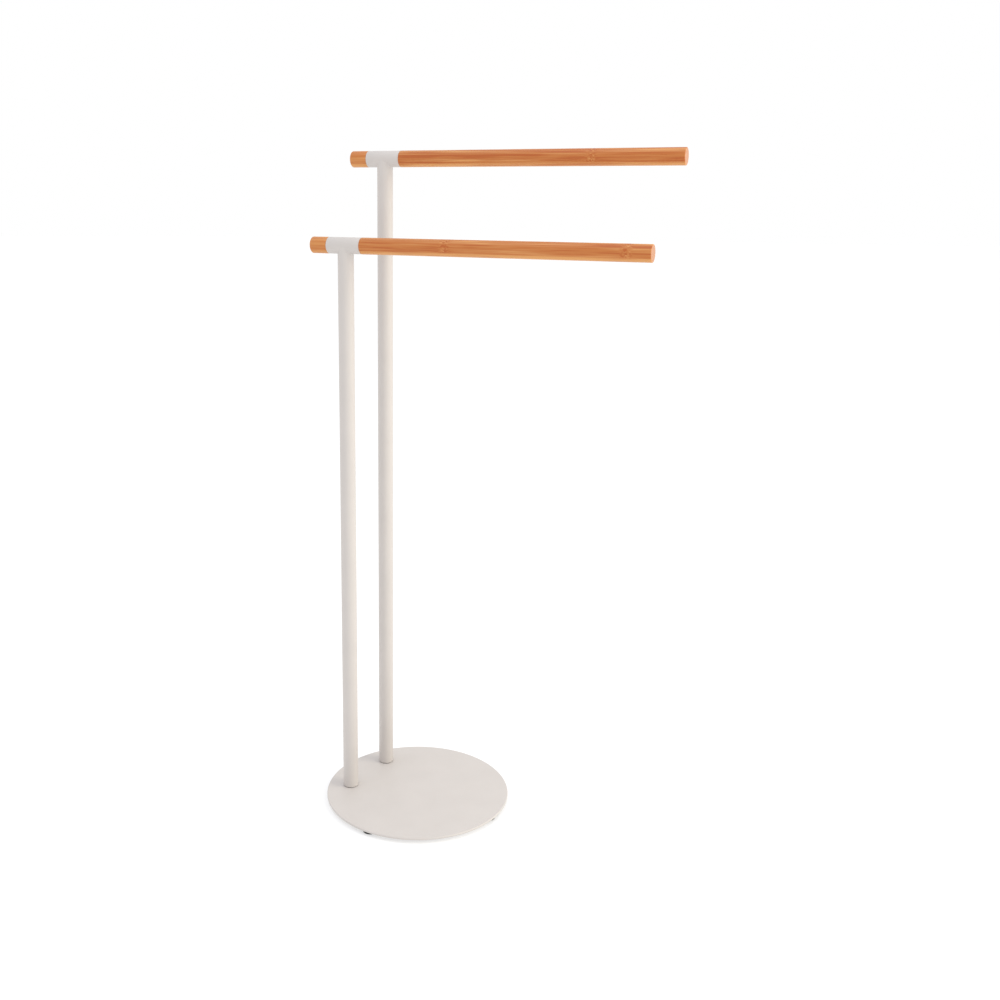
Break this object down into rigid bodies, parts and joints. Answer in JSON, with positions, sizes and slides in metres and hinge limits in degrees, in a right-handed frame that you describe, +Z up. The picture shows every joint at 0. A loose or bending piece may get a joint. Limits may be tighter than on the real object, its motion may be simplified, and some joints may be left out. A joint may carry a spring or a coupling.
{
  "type": "towel stand",
  "caption": "Freestanding towel stand: horizontal bamboo bars cantilevered from swivelling steel posts on a round base plate.",
  "frame": {"origin": "on the floor, in the middle of the stand's footprint box; the base plate's centre lies 91.3 mm from it towards -X", "axes": "+Z up; at rest +X runs along both towel bars from their sleeves to their free ends; the short arm stands on the -Y side"},
  "size_m": [0.4654, 0.26, 0.9],
  "materials": {
    "white_powder_coat": "satin",
    "bamboo": "satin",
    "black_rubber": "matte",
    "zinc_plated_steel": "satin",
    "black_nylon": "matte"
  },
  "bodies": {
    "base": {"base_plate": "white_powder_coat", "foot_pad_right": "black_rubber", "foot_pad_back": "black_rubber", "foot_pad_left": "black_rubber", "foot_pad_front": "black_rubber", "short_glide_washer": "black_nylon", "tall_glide_washer": "black_nylon"},
    "short_arm": {"short_pivot_screw": "zinc_plated_steel", "short_pivot_washer": "zinc_plated_steel", "short_post_insert": "zinc_plated_steel", "short_post_tube": "white_powder_coat", "short_sleeve": "white_powder_coat", "short_joiner_stud": "zinc_plated_steel", "short_towel_bar": "bamboo", "short_bar_stub": "bamboo"},
    "tall_arm": {"tall_pivot_screw": "zinc_plated_steel", "tall_pivot_washer": "zinc_plated_steel", "tall_post_insert": "zinc_plated_steel", "tall_post_tube": "white_powder_coat", "tall_sleeve": "white_powder_coat", "tall_joiner_stud": "zinc_plated_steel", "tall_towel_bar": "bamboo", "tall_bar_stub": "bamboo"}
  },
  "joints": [
    {"name": "short_arm_swivel", "type": "hinge", "parent": "base", "child": "short_arm", "pos_m": [-0.18469, -0.0298, 0.008], "axis": [0, 0, 1], "range_deg": [-264, 66]},
    {"name": "tall_arm_swivel", "type": "hinge", "parent": "base", "child": "tall_arm", "pos_m": [-0.17131, 0.05663, 0.008], "axis": [0, 0, 1], "continuous": true}
  ]
}
